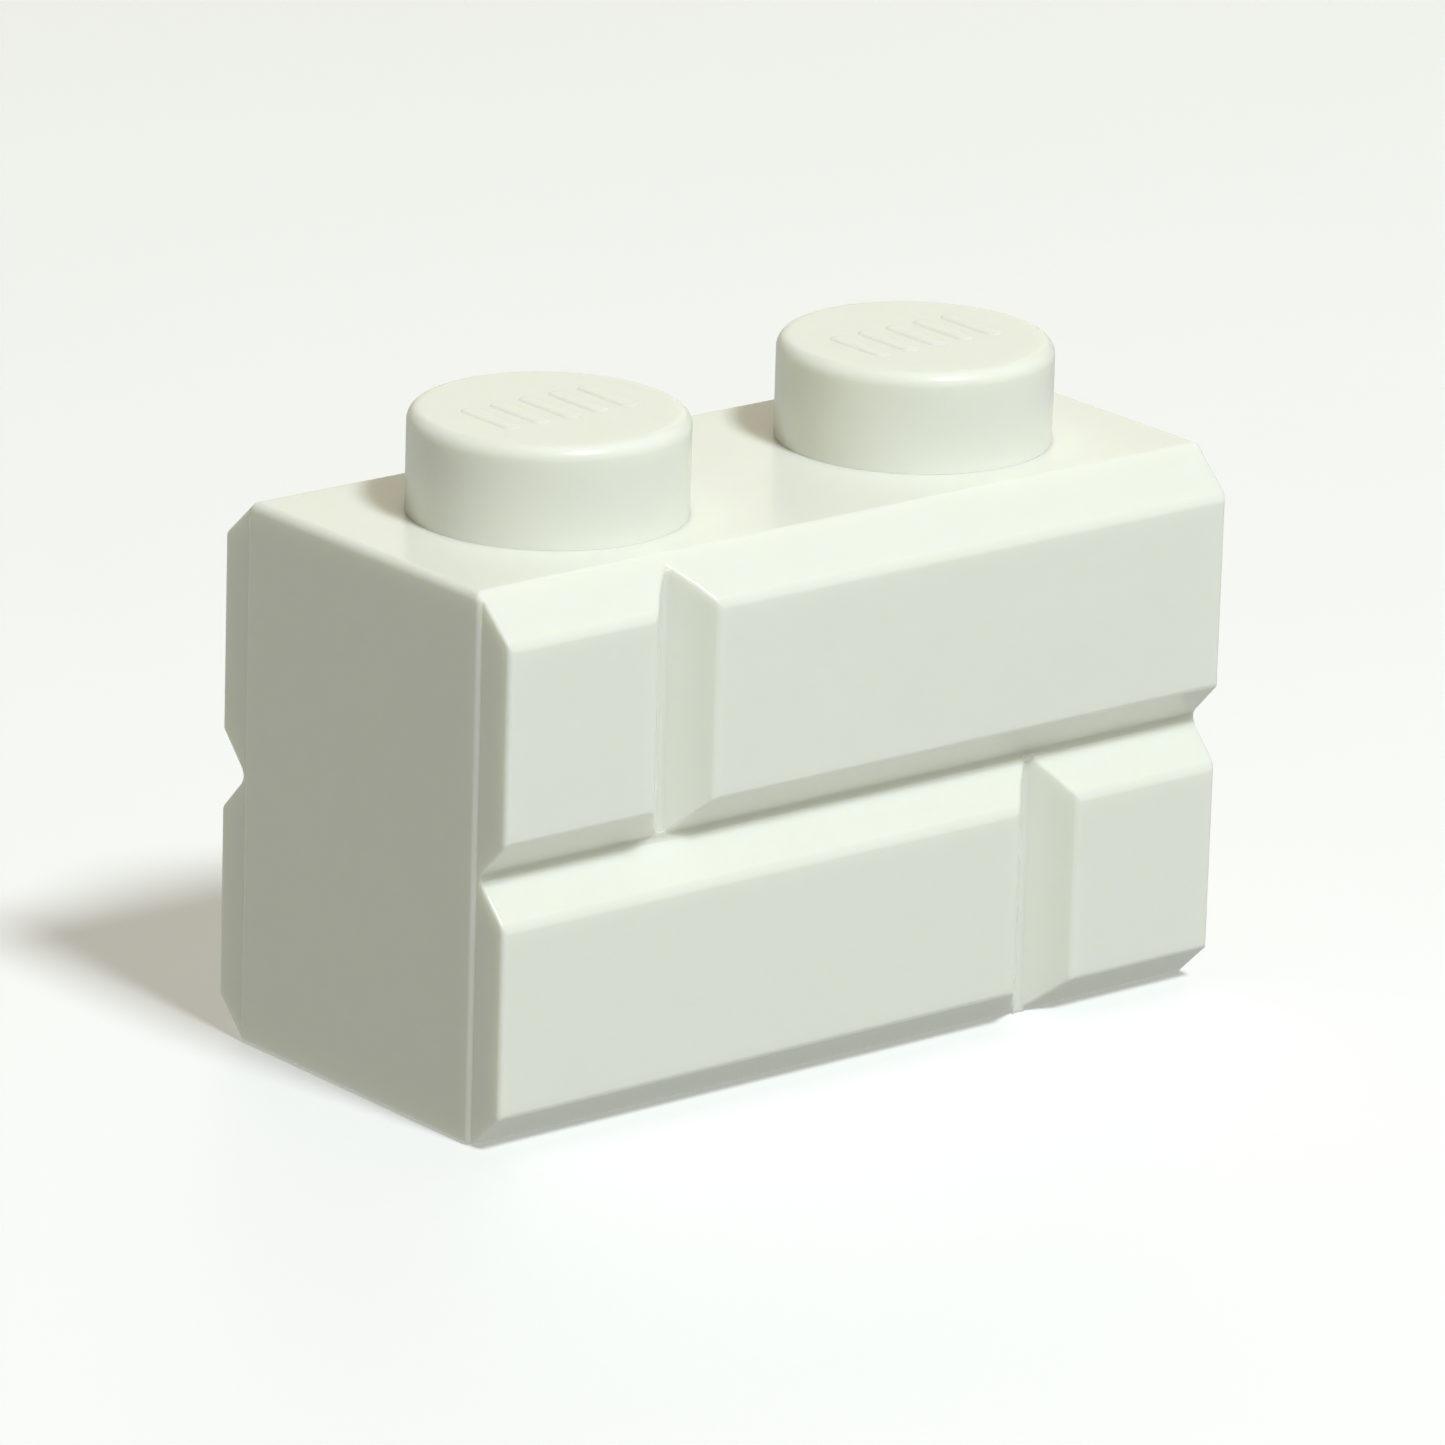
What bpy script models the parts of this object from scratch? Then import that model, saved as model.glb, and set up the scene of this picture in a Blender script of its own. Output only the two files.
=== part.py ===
"""A 1 x 2 interlocking toy brick with a masonry relief on both long sides.

Metres, +Z up. The origin is the centre of the base. The length runs along X, and the front long side faces -Y.
The real brick is one moulding. Here each moulded feature is an object of its own, with a hairline gap between them.
"""

import math

import bmesh
import bpy

MM = 0.001

# The stud grid and the outer size
PITCH = 8.0 * MM
LENGTH = 15.8 * MM
DEPTH = 7.8 * MM
BODY_HEIGHT = 9.6 * MM

# Studs, sockets and walls
STUD_RADIUS = 2.4 * MM
STUD_HEIGHT = 1.8 * MM
STUD_ROUNDING = 0.2 * MM
PIN_RADIUS = 1.6 * MM
PIN_ROUNDING = 0.15 * MM
DECK_THICKNESS = 1.0 * MM
GAP = 0.02 * MM

# The masonry relief: bevelled blocks that stand out of a recessed wall
RELIEF = 0.7 * MM
COURSE_JOINT_Z = 4.7 * MM
HEAD_JOINT_X = 4.05 * MM
COURSE_BEVEL = 0.73 * MM
HEAD_BEVEL = 0.66 * MM
TOP_BEVEL = 0.61 * MM
BOTTOM_BEVEL = 0.65 * MM
DECK_CHAMFER = 0.14 * MM
END_STEP = 0.06 * MM
BLOCK_ROUNDING = 0.12 * MM
CORNER_ROUNDING = 0.08 * MM

# What follows from them
HALF_LENGTH = LENGTH / 2
FACE_Y = DEPTH / 2
WALL_Y = FACE_Y - RELIEF
STUD_X = PITCH / 2
SOCKET_Y = STUD_RADIUS
SOCKET_X = STUD_X + STUD_RADIUS
CEILING_Z = BODY_HEIGHT - DECK_THICKNESS

TURNED_STEPS = 72
ARC_STEPS = 5
WHITE = (0.86, 0.87, 0.80, 1.0)


def clear_scene():
    for obj in list(bpy.data.objects):
        bpy.data.objects.remove(obj)


def new_collection(name):
    collection = bpy.data.collections.new(name)
    bpy.context.scene.collection.children.link(collection)
    return collection


def glossy_plastic(name):
    """White injection-moulded plastic with a polished tool finish."""
    material = bpy.data.materials.new(name)
    material.use_nodes = True
    shader = material.node_tree.nodes["Principled BSDF"]
    shader.inputs["Base Color"].default_value = WHITE
    shader.inputs["Roughness"].default_value = 0.25
    shader.inputs["Metallic"].default_value = 0.0
    return material


def add_object(name, bm, collection):
    """Turns a bmesh into a named object with its own material."""
    mesh = bpy.data.meshes.new(name)
    bm.to_mesh(mesh)
    bm.free()
    obj = bpy.data.objects.new(name, mesh)
    obj.data.materials.append(glossy_plastic(name))
    collection.objects.link(obj)
    return obj


def box_bmesh(low, high):
    """A box between two opposite corners."""
    bm = bmesh.new()
    bmesh.ops.create_cube(bm, size=1.0)
    for vertex in bm.verts:
        for axis in range(3):
            vertex.co[axis] = high[axis] if vertex.co[axis] > 0 else low[axis]
    return bm


def weigh_edges(bm, chosen):
    """Marks for the Bevel modifier the edges whose two ends both pass the test."""
    weight = bm.edges.layers.float.new("bevel_weight_edge")
    for edge in bm.edges:
        edge[weight] = 1.0 if all(chosen(vertex.co) for vertex in edge.verts) else 0.0


def round_weighed_edges(obj, width, segments):
    bevel = obj.modifiers.new("rounded edges", "BEVEL")
    bevel.limit_method = "WEIGHT"
    bevel.width = width
    bevel.segments = segments


def top_plate(collection):
    """The deck that carries the studs. Its two long edges run into the relief's upper bevel."""
    bm = box_bmesh((-HALF_LENGTH, -WALL_Y, CEILING_Z), (HALF_LENGTH, WALL_Y, BODY_HEIGHT))
    weight = bm.edges.layers.float.new("bevel_weight_edge")
    for edge in bm.edges:
        first, second = (vertex.co for vertex in edge.verts)
        along_length = abs(first.x - second.x) > PITCH
        at_top = min(first.z, second.z) > CEILING_Z
        edge[weight] = 1.0 if along_length and at_top else 0.0
    obj = add_object("top_plate", bm, collection)
    round_weighed_edges(obj, DECK_CHAMFER, 1)


def end_wall(name, side, collection):
    """The plain narrow end, as wide as the recessed walls. Side is -1 at the left and 1 at the right."""
    inner, outer = sorted((side * SOCKET_X, side * HALF_LENGTH), key=abs)
    low = (min(inner, outer), -WALL_Y, 0.0)
    high = (max(inner, outer), WALL_Y, CEILING_Z - GAP)
    bm = box_bmesh(low, high)
    weight = bm.edges.layers.float.new("bevel_weight_edge")
    for edge in bm.edges:
        first, second = (vertex.co for vertex in edge.verts)
        upright = abs(first.z - second.z) > PITCH
        outside = min(abs(first.x), abs(second.x)) > SOCKET_X
        edge[weight] = 1.0 if upright and outside else 0.0
    obj = add_object(name, bm, collection)
    round_weighed_edges(obj, CORNER_ROUNDING, 2)


def long_wall(name, side, collection):
    """The thin wall behind the relief, between the end walls. Side is -1 at the front and 1 at the rear."""
    reach = SOCKET_X - GAP
    edges = sorted((side * SOCKET_Y, side * WALL_Y))
    bm = box_bmesh((-reach, edges[0], 0.0), (reach, edges[1], CEILING_Z - GAP))
    add_object(name, bm, collection)


def turned(name, profile, location, collection):
    """A solid of revolution about Z. The profile runs from the axis, down the outer side, back to the axis."""
    mesh = bpy.data.meshes.new(name)
    edges = [(i, i + 1) for i in range(len(profile) - 1)]
    mesh.from_pydata([(radius, 0.0, height) for radius, height in profile], edges, [])
    obj = bpy.data.objects.new(name, mesh)
    obj.location = location
    obj.data.materials.append(glossy_plastic(name))
    collection.objects.link(obj)
    screw = obj.modifiers.new("turned", "SCREW")
    screw.steps = TURNED_STEPS
    screw.render_steps = TURNED_STEPS
    screw.use_merge_vertices = True
    screw.merge_threshold = 1e-6
    screw.use_smooth_shade = True
    return obj


def quarter_arc(centre, radius, start):
    """Points on a quarter circle, turning clockwise from the start angle."""
    points = []
    for i in range(ARC_STEPS + 1):
        angle = start - math.pi / 2 * i / ARC_STEPS
        points.append((centre[0] + radius * math.cos(angle), centre[1] + radius * math.sin(angle)))
    return points


def stud(name, x, collection):
    """The coupling stud, with its top edge rounded over."""
    shoulder = (STUD_RADIUS - STUD_ROUNDING, STUD_HEIGHT - STUD_ROUNDING)
    profile = [(0.0, STUD_HEIGHT)]
    profile += quarter_arc(shoulder, STUD_ROUNDING, math.pi / 2)
    profile += [(STUD_RADIUS, GAP), (0.0, GAP)]
    turned(name, profile, (x, 0.0, BODY_HEIGHT), collection)


def core_pin(collection):
    """The solid pin between the two sockets, from the ceiling down to the base."""
    shoulder = (PIN_RADIUS - PIN_ROUNDING, PIN_ROUNDING)
    profile = [(0.0, CEILING_Z - GAP), (PIN_RADIUS, CEILING_Z - GAP)]
    profile += quarter_arc(shoulder, PIN_ROUNDING, 0.0)
    profile += [(0.0, 0.0)]
    turned("core_pin", profile, (0.0, 0.0, 0.0), collection)


def masonry_block(name, side, span_x, span_z, collection):
    """One raised block, as seen on the front. On the rear, the same block is turned half round about Z.

    Each span holds (low edge of the foot, slope, high edge of the foot, slope). A slope is how far that edge of
    the outer face lies in from the foot.
    """
    low_x, low_slope_x, high_x, high_slope_x = span_x
    low_z, low_slope_z, high_z, high_slope_z = span_z
    bm = box_bmesh((low_x, -FACE_Y, low_z), (high_x, -WALL_Y - GAP, high_z))
    for vertex in bm.verts:
        if vertex.co.y > -FACE_Y + RELIEF / 2:
            continue
        vertex.co.x += low_slope_x if vertex.co.x < (low_x + high_x) / 2 else -high_slope_x
        vertex.co.z += low_slope_z if vertex.co.z < (low_z + high_z) / 2 else -high_slope_z
    weigh_edges(bm, lambda point: point.y < -FACE_Y + RELIEF / 2)
    obj = add_object(name, bm, collection)
    round_weighed_edges(obj, BLOCK_ROUNDING, 3)
    if side > 0:
        obj.rotation_euler.z = math.pi


def masonry(side_name, side, collection):
    """Two courses of two blocks. The head joint of the lower course is one stud pitch from the upper one's."""
    end = HALF_LENGTH - END_STEP
    draft = END_STEP / 3
    half_gap = GAP / 2
    crown = BODY_HEIGHT - DECK_CHAMFER - half_gap
    upper = (COURSE_JOINT_Z + half_gap, COURSE_BEVEL, crown, TOP_BEVEL)
    lower = (0.0, BOTTOM_BEVEL, COURSE_JOINT_Z - half_gap, COURSE_BEVEL)
    left_of_upper_joint = (-end, draft, -HEAD_JOINT_X - half_gap, HEAD_BEVEL)
    right_of_upper_joint = (-HEAD_JOINT_X + half_gap, HEAD_BEVEL, end, draft)
    left_of_lower_joint = (-end, draft, HEAD_JOINT_X - half_gap, HEAD_BEVEL)
    right_of_lower_joint = (HEAD_JOINT_X + half_gap, HEAD_BEVEL, end, draft)
    masonry_block(side_name + "_upper_short_block", side, left_of_upper_joint, upper, collection)
    masonry_block(side_name + "_upper_long_block", side, right_of_upper_joint, upper, collection)
    masonry_block(side_name + "_lower_long_block", side, left_of_lower_joint, lower, collection)
    masonry_block(side_name + "_lower_short_block", side, right_of_lower_joint, lower, collection)


def build():
    clear_scene()
    brick = new_collection("masonry_brick")
    top_plate(brick)
    end_wall("left_end_wall", -1, brick)
    end_wall("right_end_wall", 1, brick)
    long_wall("front_wall", -1, brick)
    long_wall("rear_wall", 1, brick)
    stud("left_stud", -STUD_X, brick)
    stud("right_stud", STUD_X, brick)
    core_pin(brick)
    masonry("front", -1, brick)
    masonry("rear", 1, brick)


build()
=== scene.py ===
"""The looks of the masonry-faced brick: one glossy white moulding on a plain pale floor."""

import math

import bmesh
import bpy
from mathutils import Matrix, Vector


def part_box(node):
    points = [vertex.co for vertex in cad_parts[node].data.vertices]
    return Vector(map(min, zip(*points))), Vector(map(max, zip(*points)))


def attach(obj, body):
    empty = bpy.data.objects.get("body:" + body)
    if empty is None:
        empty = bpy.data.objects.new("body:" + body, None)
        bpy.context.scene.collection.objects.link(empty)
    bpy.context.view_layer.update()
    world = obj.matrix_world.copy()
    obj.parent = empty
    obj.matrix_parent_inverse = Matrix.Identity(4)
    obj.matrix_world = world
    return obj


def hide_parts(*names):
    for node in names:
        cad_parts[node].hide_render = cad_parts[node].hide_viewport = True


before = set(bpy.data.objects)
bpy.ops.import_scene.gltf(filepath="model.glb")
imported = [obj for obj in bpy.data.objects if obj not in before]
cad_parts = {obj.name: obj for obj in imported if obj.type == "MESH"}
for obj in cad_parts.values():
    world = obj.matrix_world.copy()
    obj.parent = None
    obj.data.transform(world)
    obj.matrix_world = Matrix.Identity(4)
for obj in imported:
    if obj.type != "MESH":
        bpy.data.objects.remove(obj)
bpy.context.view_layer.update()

MM = 0.001

# Shapes are modelled in millimetres and scaled to metres at the end, which keeps the modifiers' tolerances small.
# The body's own planes come from the CAD boxes.
DECK_LOW, DECK_HIGH = (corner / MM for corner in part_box("top_plate"))
BLOCK_LOW, BLOCK_HIGH = (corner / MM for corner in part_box("front_upper_long_block"))
LOWER_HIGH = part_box("front_lower_long_block")[1] / MM
WALL_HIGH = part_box("front_wall")[1] / MM
LEFT_STUD_LOW, LEFT_STUD_HIGH = (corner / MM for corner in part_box("left_stud"))
RIGHT_STUD_LOW, RIGHT_STUD_HIGH = (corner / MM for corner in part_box("right_stud"))
PIN_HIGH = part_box("core_pin")[1] / MM

HALF_LENGTH = DECK_HIGH.x
WALL_Y = DECK_HIGH.y
DECK_Z = DECK_HIGH.z
CEILING_Z = DECK_LOW.z
FACE_Y = -BLOCK_LOW.y
RELIEF = FACE_Y - WALL_Y
COURSE_Z = (BLOCK_LOW.z + LOWER_HIGH.z) / 2
BLOCK_END = BLOCK_HIGH.x
HEAD_X = (-BLOCK_LOW.x + LOWER_HIGH.x) / 2
SOCKET_X = WALL_HIGH.x
SOCKET_Y = -WALL_HIGH.y
STUD_RADIUS = (LEFT_STUD_HIGH.x - LEFT_STUD_LOW.x) / 2
PIN_RADIUS = PIN_HIGH.x

# The relief: the heights of the outer faces' edges, and how far those faces lie in from the feet of the blocks
FACE_TOP_Z = 8.84
FACE_UPPER_BOTTOM_Z = 5.42
FACE_LOWER_TOP_Z = 3.97
FACE_BOTTOM_Z = 0.65
HEAD_SLOPE = 0.66
END_DRAFT = 0.02

# Where the deck's flat ends, and the height at which its sloped long edge meets the recessed wall
DECK_EDGE_Y = 3.05
CROWN_Z = DECK_Z - (DECK_Z - FACE_TOP_Z) * (WALL_Y - DECK_EDGE_Y) / (FACE_Y - DECK_EDGE_Y)

# The soft crease in a wall of an upright groove: its distance from the outer face, and how far it sinks in
CREASE_DEPTH = 0.34
CREASE_SINK = 0.04

# The fillets in the bottoms of the joints
JOINT_FILLET = 0.18
FILLET_SINK = 0.012
FILLET_HALF_ANGLE = 40
FILLET_STEPS = 8

# Rounding: the width of the bevel on each side of an edge, and the number of its segments
ROUND_TOP = 0.12
ROUND_BOTTOM = 0.05
ROUND_SIDE = 0.08
ROUND_END = 0.09
ROUND_HIP = 0.05
ROUND_SHELL_END = 0.16
ROUND_SHELL_CORNER = 0.12
ROUND_DECK_EDGE = 0.05
ROUND_RIM = 0.08
ROUND_SOCKET = 0.12
BLOCK_SEGMENTS = 4
SHELL_SEGMENTS = 5
SOCKET_SEGMENTS = 4

# The studs and the pin
STUD_ROUNDING = 0.25
STUD_ROUNDING_STEPS = 10
STUD_SINK = 0.05
STUD_STEPS = 128
PIN_ROUNDING = 0.15
PIN_ROUNDING_STEPS = 6
PIN_SINK = 0.1
PIN_STEPS = 96

# The generic mark on each stud: a row of low rounded bars. The flanks are (height, inset) pairs from the foot up.
MARK_HEIGHT = 0.03
BAR_COUNT = 5
BAR_PITCH = 0.62
BAR_HALF_WIDTH = 0.17
BAR_HALF_LENGTH = 0.72
BAR_CORNER = 0.15
BAR_CORNER_STEPS = 6
BAR_FLANKS = [(-0.05, 0.0), (0.002, 0.0), (0.012, 0.015), (0.024, 0.045), (MARK_HEIGHT, 0.085)]

# How the solids are joined: neighbours overlap by a little, and points left almost in one place are merged
FEET_OVERLAP = 0.01
HIDDEN_DEPTH = 0.12
CUT_PAST_BASE = 1.0
SAME_PLACE = 1e-4
MERGE_DISTANCE = 0.0008
SMOOTH_ANGLE = 28
WEIGHT = "bevel_weight_edge"

# The plastic. Its roughness stays on one side of 0.274, where the render's denoiser changes over and leaves patches.
PLASTIC_COLOURS = ((0.845, 0.855, 0.770, 1.0), (0.860, 0.870, 0.790, 1.0))
PLASTIC_ROUGHNESS = (0.19, 0.26)
PLASTIC_IOR = 1.5
MOTTLING_SCALE = 900.0
POLISH_SCALE = 420.0
WAVINESS_SCALE = 350.0
WAVINESS_HEIGHT = 0.004 * MM
GRAIN_SCALE = 9000.0
GRAIN_HEIGHT = 0.0003 * MM
SCATTER_DISTANCE = 0.25 * MM
SCATTER_RADIUS = (1.0, 1.0, 0.8)
FOOT_FADE = 0.4

# The floor lies a hair under the base. Its glow lifts it towards white.
FLOOR_COLOURS = ((0.89, 0.89, 0.89, 1.0), (0.91, 0.91, 0.91, 1.0))
FLOOR_TONE_SCALE = 60.0
FLOOR_ROUGHNESS = 0.5
FLOOR_SPECULAR = 0.5
FLOOR_GLOW = 0.12
FLOOR_GAP = 0.01 * MM
FLOOR_HALF_SIZE = 2.0

# The lights: name, azimuth, elevation, size in metres, power in watts, colour
LIGHT_DISTANCE = 0.5
SOFTBOXES = [
    ("key", 0.0, 54.0, 0.10, 2.02, (0.88, 0.96, 1.0)),
    ("overhead", 0.0, 90.0, 0.30, 0.07, (1.0, 0.98, 0.80)),
    ("back", 142.0, 16.0, 0.34, 0.17, (1.0, 0.94, 0.74)),
]
SKY_ABOVE = (0.31, 0.29, 0.24, 1.0)
SKY_BELOW = (0.49, 0.52, 0.50, 1.0)
HORIZON_BLUR = 0.02

# The camera, in degrees and millimetres
CAMERA_YAW = 39.54
CAMERA_PITCH = 17.81
CAMERA_ROLL = 1.685
CAMERA_DISTANCE = 187.18
CAMERA_OFFSET = (-0.053, -0.367)
AIM_Z = 5.5
LENS = 272.5
SENSOR_WIDTH = 36.0
CLIP_RANGE = (0.01, 20.0)


# Mesh building

def to_object(name, bm):
    mesh = bpy.data.meshes.new(name)
    bm.to_mesh(mesh)
    bm.free()
    obj = bpy.data.objects.new(name, mesh)
    bpy.context.scene.collection.objects.link(obj)
    return obj


def apply_modifiers(obj):
    """Puts the modifiers' result into the mesh."""
    depsgraph = bpy.context.evaluated_depsgraph_get()
    mesh = bpy.data.meshes.new_from_object(obj.evaluated_get(depsgraph))
    old = obj.data
    obj.modifiers.clear()
    obj.data = mesh
    bpy.data.meshes.remove(old)


def bevel_by_weight(obj, segments):
    """Rounds every edge by the width stored on it as a weight, in millimetres."""
    bevel = obj.modifiers.new("rounding", "BEVEL")
    bevel.limit_method = "WEIGHT"
    bevel.offset_type = "OFFSET"
    bevel.width = 1.0
    bevel.segments = segments
    bevel.use_clamp_overlap = True
    apply_modifiers(obj)


def boolean(obj, other, operation):
    """Joins another solid to this one, or cuts it away, and removes the other."""
    modifier = obj.modifiers.new(operation.lower(), "BOOLEAN")
    modifier.operation = operation
    modifier.solver = "EXACT"
    modifier.object = other
    apply_modifiers(obj)
    bpy.data.objects.remove(other)


def box(low, high):
    bm = bmesh.new()
    bmesh.ops.create_cube(bm, size=1.0)
    for vertex in bm.verts:
        for axis in range(3):
            vertex.co[axis] = high[axis] if vertex.co[axis] > 0 else low[axis]
    return bm


def weigh(bm, width_of):
    """Stores on each edge the rounding that width_of gives for its two end points."""
    layer = bm.edges.layers.float.new(WEIGHT)
    for edge in bm.edges:
        edge[layer] = width_of(edge.verts[0].co, edge.verts[1].co)


def close(a, b):
    return abs(a - b) < SAME_PLACE


def loft(rings):
    """A closed solid through rectangles (x0, x1, z0, z1) that lie at the given y, from the back to the front."""
    bm = bmesh.new()
    loops = []
    for y, (x0, x1, z0, z1) in rings:
        corners = ((x0, y, z0), (x1, y, z0), (x1, y, z1), (x0, y, z1))
        loops.append([bm.verts.new(corner) for corner in corners])
    for back, front in zip(loops, loops[1:]):
        for i in range(4):
            j = (i + 1) % 4
            bm.faces.new((back[i], back[j], front[j], front[i]))
    bm.faces.new(loops[-1])
    bm.faces.new(reversed(loops[0]))
    bmesh.ops.recalc_face_normals(bm, faces=bm.faces)
    return bm


def arc(centre, radius, start, end, steps):
    """Points on an arc from one angle to another, in degrees."""
    points = []
    for i in range(steps + 1):
        angle = math.radians(start + (end - start) * i / steps)
        points.append((centre[0] + radius * math.cos(angle), centre[1] + radius * math.sin(angle)))
    return points


def prism(outline, low, high):
    """A straight bar along X from low to high, with an outline of (y, z) points."""
    bm = bmesh.new()
    ends = [[bm.verts.new((x, y, z)) for y, z in outline] for x in (low, high)]
    for i in range(len(outline)):
        j = (i + 1) % len(outline)
        bm.faces.new((ends[0][i], ends[0][j], ends[1][j], ends[1][i]))
    bm.faces.new(ends[0])
    bm.faces.new(ends[1])
    bmesh.ops.recalc_face_normals(bm, faces=bm.faces)
    return bm


# The body

def masonry_block(name, span_x, span_z, groove_side):
    """One raised block of the front: its foot, its slopes, and its outer face.

    span_x and span_z hold the foot's and then the face's limits. groove_side is -1 or 1, the side whose wall
    belongs to an upright groove. That wall has a soft crease.
    """
    foot_x, face_x = span_x
    foot_z, face_z = span_z
    share = CREASE_DEPTH / RELIEF
    crease_x = [face_x[i] + (foot_x[i] - face_x[i]) * share for i in (0, 1)]
    crease_z = [face_z[i] + (foot_z[i] - face_z[i]) * share for i in (0, 1)]
    side = 1 if groove_side > 0 else 0
    crease_x[side] -= groove_side * CREASE_SINK
    inner_x = (foot_x[0] + HIDDEN_DEPTH, foot_x[1] - HIDDEN_DEPTH)
    inner_z = (foot_z[0] + HIDDEN_DEPTH, foot_z[1] - HIDDEN_DEPTH)
    rings = [
        (-WALL_Y + HIDDEN_DEPTH, (*inner_x, *inner_z)),
        (-WALL_Y, (*foot_x, *foot_z)),
        (-FACE_Y + CREASE_DEPTH, (*crease_x, *crease_z)),
        (-FACE_Y, (*face_x, *face_z)),
    ]
    bm = loft(rings)
    end_x = face_x[0] if groove_side > 0 else face_x[1]

    def width_of(a, b):
        on_face = close(a.y, -FACE_Y) and close(b.y, -FACE_Y)
        if on_face and close(a.z, b.z):
            return ROUND_TOP if close(a.z, face_z[1]) else ROUND_BOTTOM
        if on_face:
            return ROUND_END if close(a.x, end_x) else ROUND_SIDE
        hidden = max(a.y, b.y) > -WALL_Y + HIDDEN_DEPTH / 2
        across = close(a.y, b.y)
        return 0.0 if hidden or across else ROUND_HIP

    weigh(bm, width_of)
    block = to_object(name, bm)
    bevel_by_weight(block, BLOCK_SEGMENTS)
    return block


def masonry_side():
    """The four blocks of one long side, as the front has them."""
    end = BLOCK_END
    face_end = end - END_DRAFT
    grow = FEET_OVERLAP
    upper_z = ((COURSE_Z - grow, CROWN_Z), (FACE_UPPER_BOTTOM_Z, FACE_TOP_Z))
    lower_z = ((0.0, COURSE_Z + grow), (FACE_BOTTOM_Z, FACE_LOWER_TOP_Z))
    upper_short = ((-end, -HEAD_X + grow), (-face_end, -HEAD_X - HEAD_SLOPE))
    upper_long = ((-HEAD_X - grow, end), (-HEAD_X + HEAD_SLOPE, face_end))
    lower_long = ((-end, HEAD_X + grow), (-face_end, HEAD_X - HEAD_SLOPE))
    lower_short = ((HEAD_X - grow, end), (HEAD_X + HEAD_SLOPE, face_end))
    return [
        masonry_block("upper_short", upper_short, upper_z, 1),
        masonry_block("upper_long", upper_long, upper_z, -1),
        masonry_block("lower_long", lower_long, lower_z, 1),
        masonry_block("lower_short", lower_short, lower_z, -1),
    ]


def joint_fillets():
    """Slim bars that round out the bottoms of the joints of one long side, as the front has them."""
    back_y = -WALL_Y + HIDDEN_DEPTH
    centre_y = -WALL_Y + FILLET_SINK - JOINT_FILLET * math.sqrt(2.0)
    curve = arc((centre_y, 0.0), JOINT_FILLET, -FILLET_HALF_ANGLE, FILLET_HALF_ANGLE, FILLET_STEPS)
    outline = [(back_y, curve[0][1]), *curve, (back_y, curve[-1][1])]
    reach = BLOCK_END - FEET_OVERLAP
    bed = to_object("bed_joint_fillet", prism(outline, -reach, reach))
    bed.data.transform(Matrix.Translation((0.0, 0.0, COURSE_Z)))
    fillets = [bed]
    upper = (-HEAD_X, COURSE_Z, CROWN_Z - JOINT_FILLET / 2)
    lower = (HEAD_X, FEET_OVERLAP, COURSE_Z)
    for x, low, high in (upper, lower):
        head = to_object("head_joint_fillet", prism(outline, low, high))
        head.data.transform(Matrix(((0, 0, -1, x), (0, 1, 0, 0), (1, 0, 0, 0), (0, 0, 0, 1))))
        fillets.append(head)
    return fillets


def shell():
    """The box of the brick, with its deck's long edges cut to the slope of the relief's top bevel."""
    outline = [
        (-WALL_Y, 0.0), (WALL_Y, 0.0), (WALL_Y, CROWN_Z),
        (DECK_EDGE_Y, DECK_Z), (-DECK_EDGE_Y, DECK_Z), (-WALL_Y, CROWN_Z),
    ]
    bm = prism(outline, -HALF_LENGTH, HALF_LENGTH)

    def width_of(a, b):
        if not close(a.x, b.x):
            if close(a.z, 0.0):
                return ROUND_RIM
            return ROUND_DECK_EDGE if close(a.z, DECK_Z) else 0.0
        if close(a.z, 0.0) and close(b.z, 0.0):
            return ROUND_RIM
        if close(a.z, DECK_Z) and close(b.z, DECK_Z):
            return ROUND_SHELL_END
        return ROUND_SHELL_CORNER

    weigh(bm, width_of)
    body = to_object("brick_body", bm)
    bevel_by_weight(body, SHELL_SEGMENTS)
    return body


def socket_core():
    """The hollow underneath, as a solid to cut away."""
    bm = box((-SOCKET_X, -SOCKET_Y, -CUT_PAST_BASE), (SOCKET_X, SOCKET_Y, CEILING_Z))
    weigh(bm, lambda a, b: ROUND_SOCKET if not close(a.z, b.z) else 0.0)
    core = to_object("socket_core", bm)
    bevel_by_weight(core, SOCKET_SEGMENTS)
    return core


def merge_close_points(obj):
    bm = bmesh.new()
    bm.from_mesh(obj.data)
    bmesh.ops.remove_doubles(bm, verts=bm.verts, dist=MERGE_DISTANCE)
    bm.to_mesh(obj.data)
    bm.free()


def smooth_by_angle(obj):
    """Smooth rounding between flat faces: edges sharper than the angle stay crisp."""
    obj.data.shade_smooth()
    obj.data.set_sharp_from_angle(angle=math.radians(SMOOTH_ANGLE))
    weighted = obj.modifiers.new("flat faces", "WEIGHTED_NORMAL")
    weighted.keep_sharp = True
    weighted.weight = 100
    apply_modifiers(obj)


def build_body():
    """The whole body as one closed mesh. The rear has the front's relief, turned half round about Z."""
    body = shell()
    boolean(body, socket_core(), "DIFFERENCE")
    for side in (1, -1):
        for part in [*joint_fillets(), *masonry_side()]:
            part.data.transform(Matrix.Diagonal((side, side, 1, 1)))
            boolean(body, part, "UNION")
    merge_close_points(body)
    smooth_by_angle(body)
    body.data.transform(Matrix.Scale(MM, 4))
    return body


# The studs and the pin

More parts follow.
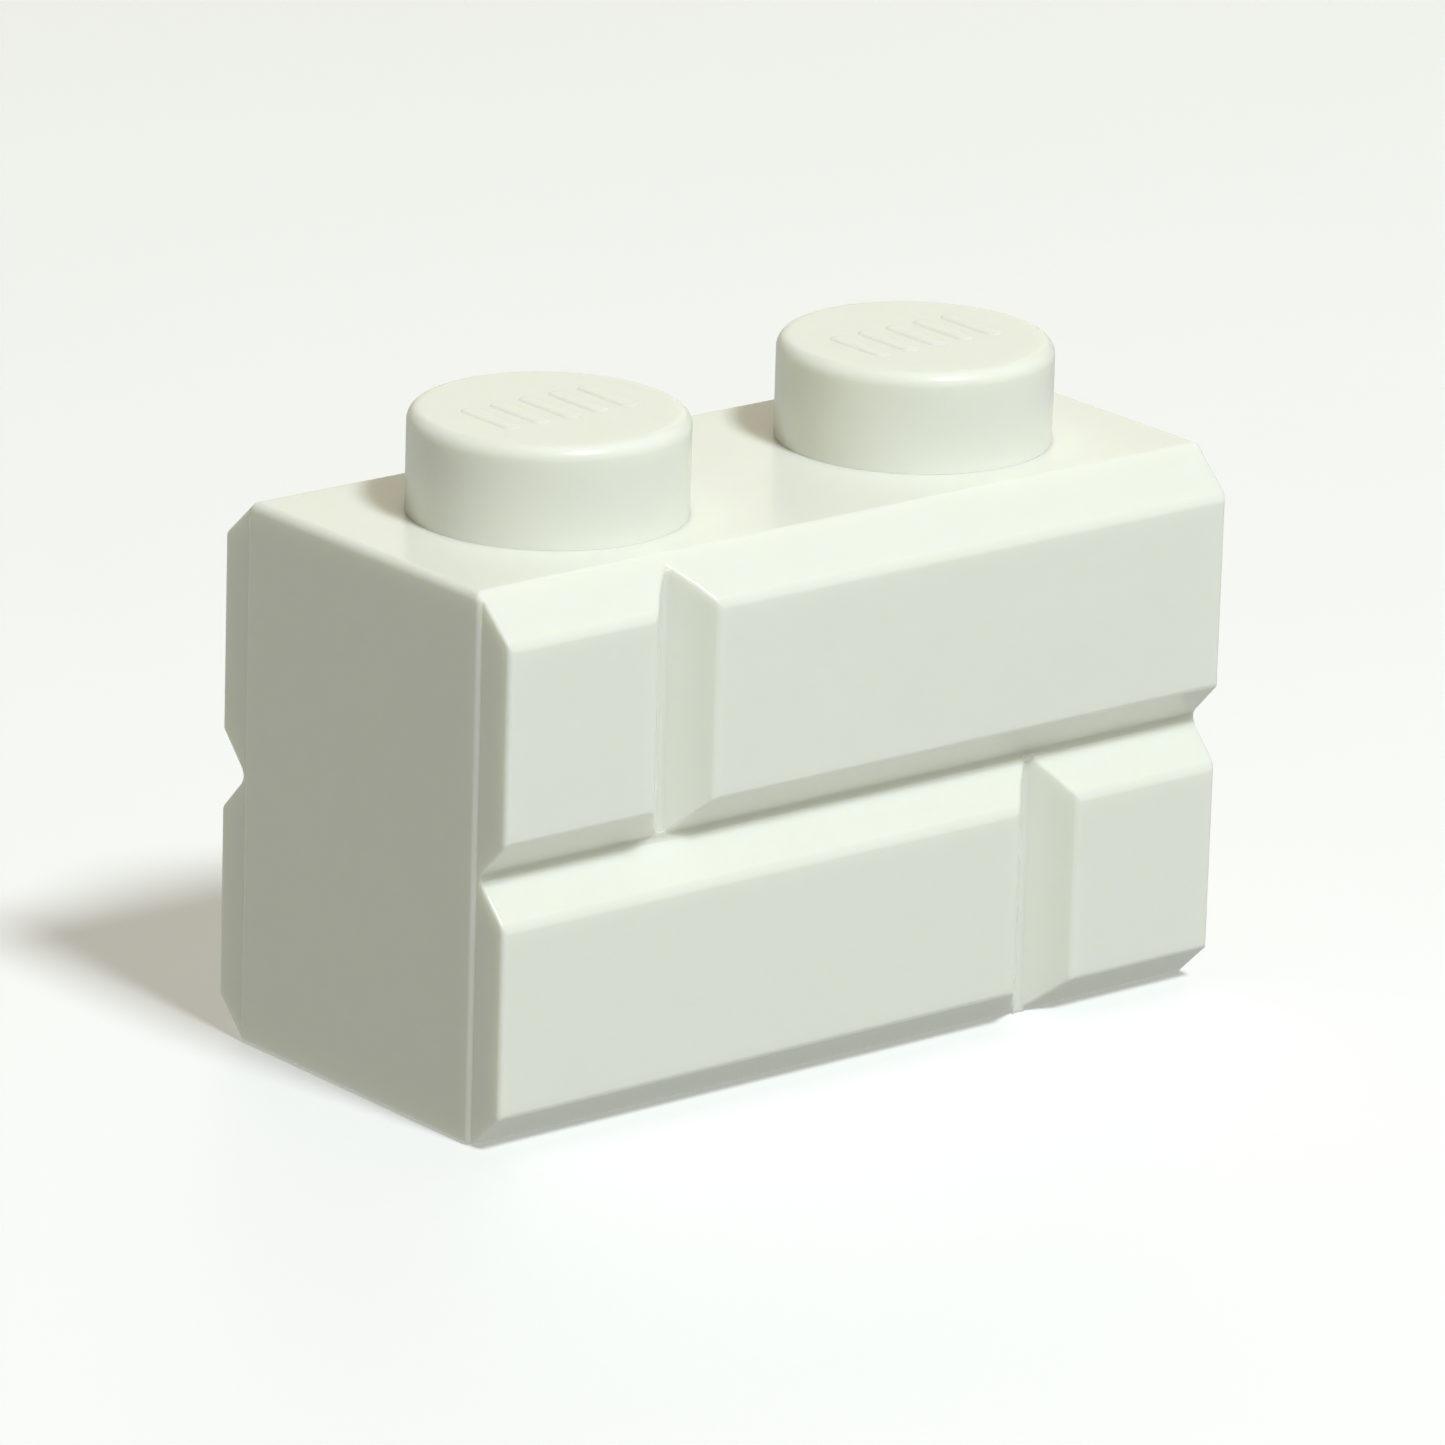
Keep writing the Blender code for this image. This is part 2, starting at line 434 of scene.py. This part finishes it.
def spin(profile, steps):
    """A closed solid of revolution about Z from (radius, height) points that run from the axis to the axis."""
    bm = bmesh.new()
    rings = []
    for radius, height in profile:
        if close(radius, 0.0):
            rings.append([bm.verts.new((0.0, 0.0, height))])
            continue
        ring = []
        for i in range(steps):
            angle = 2 * math.pi * i / steps
            ring.append(bm.verts.new((radius * math.cos(angle), radius * math.sin(angle), height)))
        rings.append(ring)
    for upper, lower in zip(rings, rings[1:]):
        for i in range(steps):
            j = (i + 1) % steps
            corners = [upper[i % len(upper)], lower[i % len(lower)]]
            corners += [lower[j % len(lower)], upper[j % len(upper)]]
            # On the axis two of the corners are one point
            bm.faces.new(tuple(dict.fromkeys(corners)))
    bmesh.ops.recalc_face_normals(bm, faces=bm.faces)
    return bm


def rounded_rectangle(half_width, half_length, corner):
    points = []
    for quarter in range(4):
        sign_x = 1 if quarter in (0, 3) else -1
        sign_y = 1 if quarter in (0, 1) else -1
        centre = (sign_x * (half_width - corner), sign_y * (half_length - corner))
        points += arc(centre, corner, 90 * quarter, 90 * quarter + 90, BAR_CORNER_STEPS)
    return points


def stud_mark(top):
    """A row of low bars with soft flanks, rising out of the flat top of a stud."""
    bm = bmesh.new()
    for bar in range(BAR_COUNT):
        middle = (bar - (BAR_COUNT - 1) / 2) * BAR_PITCH
        rings = []
        for height, inset in BAR_FLANKS:
            sizes = (size - inset for size in (BAR_HALF_WIDTH, BAR_HALF_LENGTH, BAR_CORNER))
            outline = rounded_rectangle(*sizes)
            rings.append([bm.verts.new((middle + x, y, top + height)) for x, y in outline])
        count = len(rings[0])
        for lower, upper in zip(rings, rings[1:]):
            for i in range(count):
                j = (i + 1) % count
                bm.faces.new((lower[i], lower[j], upper[j], upper[i]))
        bm.faces.new(rings[-1])
        bm.faces.new(reversed(rings[0]))
    bmesh.ops.recalc_face_normals(bm, faces=bm.faces)
    return to_object("stud_mark", bm)


def build_stud(name, low, high):
    """A stud with a rounded rim and its mark. Its foot reaches into the deck."""
    top = high.z - MARK_HEIGHT
    foot = DECK_Z - STUD_SINK
    rim = (STUD_RADIUS - STUD_ROUNDING, top - STUD_ROUNDING)
    profile = [(0.0, top), *arc(rim, STUD_ROUNDING, 90, 0, STUD_ROUNDING_STEPS), (STUD_RADIUS, foot), (0.0, foot)]
    stud = to_object(name, spin(profile, STUD_STEPS))
    boolean(stud, stud_mark(top), "UNION")
    smooth_by_angle(stud)
    centre = (low + high) / 2
    stud.data.transform(Matrix.Translation((centre.x, centre.y, 0.0)))
    stud.data.transform(Matrix.Scale(MM, 4))
    return stud


def build_pin():
    """The pin between the sockets, with its lower edge rounded. Its top reaches into the ceiling."""
    top = CEILING_Z + PIN_SINK
    rim = (PIN_RADIUS - PIN_ROUNDING, PIN_ROUNDING)
    profile = [(0.0, top), (PIN_RADIUS, top), *arc(rim, PIN_ROUNDING, 0, -90, PIN_ROUNDING_STEPS), (0.0, 0.0)]
    pin = to_object("core_pin_skin", spin(profile, PIN_STEPS))
    smooth_by_angle(pin)
    pin.data.transform(Matrix.Scale(MM, 4))
    return pin


# Materials

def new_material(name):
    material = bpy.data.materials.new(name)
    material.use_nodes = True
    nodes = material.node_tree.nodes
    return material, nodes, material.node_tree.links, nodes["Principled BSDF"]


def noise(nodes, links, coordinates, scale, detail=2.0, roughness=0.5):
    node = nodes.new("ShaderNodeTexNoise")
    node.inputs["Scale"].default_value = scale
    node.inputs["Detail"].default_value = detail
    node.inputs["Roughness"].default_value = roughness
    links.new(coordinates, node.inputs["Vector"])
    return node.outputs["Fac"]


def remap(nodes, links, value, low, high):
    """Stretches a noise value, which seldom leaves 0.2 to 0.8, over the given range."""
    node = nodes.new("ShaderNodeMapRange")
    node.inputs["From Min"].default_value = 0.2
    node.inputs["From Max"].default_value = 0.8
    node.inputs["To Min"].default_value = low
    node.inputs["To Max"].default_value = high
    links.new(value, node.inputs["Value"])
    return node.outputs["Result"]


def blend(nodes, links, factor, colours):
    node = nodes.new("ShaderNodeMix")
    node.data_type = "RGBA"
    node.inputs["A"].default_value, node.inputs["B"].default_value = colours
    links.new(factor, node.inputs["Factor"])
    return node.outputs["Result"]


def bump(nodes, links, height, distance):
    node = nodes.new("ShaderNodeBump")
    node.inputs["Strength"].default_value = 1.0
    node.inputs["Distance"].default_value = distance
    links.new(height, node.inputs["Height"])
    return node


def white_plastic(name):
    """Glossy white moulded plastic: faint mottling in its colour, a polish that varies, and a slightly wavy skin."""
    material, nodes, links, shader = new_material(name)
    coordinates = nodes.new("ShaderNodeTexCoord").outputs["Object"]
    mottling = noise(nodes, links, coordinates, MOTTLING_SCALE, detail=4.0, roughness=0.6)
    colour = blend(nodes, links, remap(nodes, links, mottling, 0.0, 1.0), PLASTIC_COLOURS)
    links.new(colour, shader.inputs["Base Color"])

    polish = noise(nodes, links, coordinates, POLISH_SCALE, detail=3.0)
    links.new(remap(nodes, links, polish, *PLASTIC_ROUGHNESS), shader.inputs["Roughness"])

    waviness = noise(nodes, links, coordinates, WAVINESS_SCALE, detail=1.0)
    grain = noise(nodes, links, coordinates, GRAIN_SCALE, detail=3.0)
    wavy = bump(nodes, links, waviness, WAVINESS_HEIGHT)
    fine = bump(nodes, links, grain, GRAIN_HEIGHT)
    links.new(wavy.outputs["Normal"], fine.inputs["Normal"])
    links.new(fine.outputs["Normal"], shader.inputs["Normal"])

    shader.inputs["IOR"].default_value = PLASTIC_IOR
    shader.inputs["Subsurface Weight"].default_value = 1.0
    shader.inputs["Subsurface Radius"].default_value = SCATTER_RADIUS
    shader.inputs["Subsurface Scale"].default_value = SCATTER_DISTANCE
    return material


def stud_plastic():
    """The same plastic, with no light seeping out of a stud's foot into the dark inside of the body."""
    material = white_plastic("stud_plastic")
    nodes, links = material.node_tree.nodes, material.node_tree.links
    place = nodes.new("ShaderNodeSeparateXYZ")
    links.new(nodes["Texture Coordinate"].outputs["Object"], place.inputs["Vector"])
    fade = nodes.new("ShaderNodeMapRange")
    fade.inputs["From Min"].default_value = DECK_Z * MM
    fade.inputs["From Max"].default_value = (DECK_Z + FOOT_FADE) * MM
    links.new(place.outputs["Z"], fade.inputs["Value"])
    links.new(fade.outputs["Result"], nodes["Principled BSDF"].inputs["Subsurface Weight"])
    return material


def pale_floor():
    """A plain pale table top with a faint tooth."""
    material, nodes, links, shader = new_material("pale_floor")
    coordinates = nodes.new("ShaderNodeTexCoord").outputs["Object"]
    tone = noise(nodes, links, coordinates, FLOOR_TONE_SCALE)
    links.new(blend(nodes, links, tone, FLOOR_COLOURS), shader.inputs["Base Color"])
    shader.inputs["Roughness"].default_value = FLOOR_ROUGHNESS
    shader.inputs["Specular IOR Level"].default_value = FLOOR_SPECULAR
    shader.inputs["Emission Color"].default_value = (1.0, 1.0, 1.0, 1.0)
    shader.inputs["Emission Strength"].default_value = FLOOR_GLOW
    return material


# Stage

def build_floor():
    """The floor lights the brick only through the lower half of the world, which is dimmer than a white floor."""
    bm = bmesh.new()
    bmesh.ops.create_grid(bm, x_segments=1, y_segments=1, size=FLOOR_HALF_SIZE)
    floor = to_object("floor", bm)
    floor.location.z = -FLOOR_GAP
    floor.data.materials.append(pale_floor())
    floor.visible_diffuse = False
    floor.visible_glossy = False


def direction(azimuth, elevation):
    """A unit vector. Azimuth 0 is in front of the brick, and 90 is at its right end."""
    azimuth, elevation = math.radians(azimuth), math.radians(elevation)
    level = math.cos(elevation)
    return Vector((math.sin(azimuth) * level, -math.cos(azimuth) * level, math.sin(elevation)))


def softbox(name, azimuth, elevation, size, power, colour):
    """A round soft light that faces the brick from the given direction."""
    light = bpy.data.lights.new(name, "AREA")
    light.shape = "DISK"
    light.size = size
    light.energy = power
    light.color = colour
    obj = bpy.data.objects.new(name, light)
    outward = direction(azimuth, elevation)
    obj.location = outward * LIGHT_DISTANCE
    obj.rotation_euler = outward.to_track_quat("Z", "Y").to_euler()
    bpy.context.scene.collection.objects.link(obj)


def build_world():
    """Soft light from all round: a warm dim sky, and under it the light that a pale grey table throws back."""
    world = bpy.data.worlds.new("studio")
    world.use_nodes = True
    nodes, links = world.node_tree.nodes, world.node_tree.links
    heading = nodes.new("ShaderNodeTexCoord")
    split = nodes.new("ShaderNodeSeparateXYZ")
    links.new(heading.outputs["Generated"], split.inputs["Vector"])
    horizon = nodes.new("ShaderNodeMapRange")
    horizon.inputs["From Min"].default_value = -HORIZON_BLUR
    horizon.inputs["From Max"].default_value = HORIZON_BLUR
    links.new(split.outputs["Z"], horizon.inputs["Value"])
    colour = blend(nodes, links, horizon.outputs["Result"], (SKY_BELOW, SKY_ABOVE))
    links.new(colour, nodes["Background"].inputs["Color"])
    bpy.context.scene.world = world


def build_lights():
    for light in SOFTBOXES:
        softbox(*light)
    build_world()


def build_camera():
    """A long lens at the left front. The yaw turns it from straight on towards the left end."""
    forward = -direction(-CAMERA_YAW, CAMERA_PITCH)
    right = forward.cross(Vector((0.0, 0.0, 1.0))).normalized()
    up = right.cross(forward)
    roll = math.radians(CAMERA_ROLL)
    right, up = (math.cos(roll) * right + math.sin(roll) * up,
                 math.cos(roll) * up - math.sin(roll) * right)
    location = Vector((0.0, 0.0, AIM_Z)) - forward * CAMERA_DISTANCE
    location += right * CAMERA_OFFSET[0] + up * CAMERA_OFFSET[1]
    camera = bpy.data.cameras.new("camera")
    camera.sensor_width = SENSOR_WIDTH
    camera.lens = LENS
    camera.clip_start, camera.clip_end = CLIP_RANGE
    obj = bpy.data.objects.new("camera", camera)
    axes = Matrix((right, up, -forward)).transposed()
    obj.matrix_world = Matrix.Translation(location * MM) @ axes.to_4x4()
    bpy.context.scene.collection.objects.link(obj)
    bpy.context.scene.camera = obj


def main():
    plastic = white_plastic("white_plastic")
    foot_plastic = stud_plastic()
    body = build_body()
    left_stud = build_stud("left_stud_skin", LEFT_STUD_LOW, LEFT_STUD_HIGH)
    right_stud = build_stud("right_stud_skin", RIGHT_STUD_LOW, RIGHT_STUD_HIGH)
    pin = build_pin()
    for piece in (body, left_stud, right_stud, pin):
        piece.data.materials.clear()
        piece.data.materials.append(foot_plastic if piece in (left_stud, right_stud) else plastic)
        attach(piece, "root")
    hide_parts("top_plate", "left_end_wall", "right_end_wall", "front_wall", "rear_wall")
    for side in ("front", "rear"):
        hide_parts(side + "_upper_short_block", side + "_upper_long_block", side + "_lower_long_block",
                    side + "_lower_short_block")
    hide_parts("left_stud")
    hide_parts("right_stud")
    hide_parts("core_pin")
    build_floor()
    build_lights()
    build_camera()
    bpy.context.scene.view_settings.view_transform = "Standard"


main()
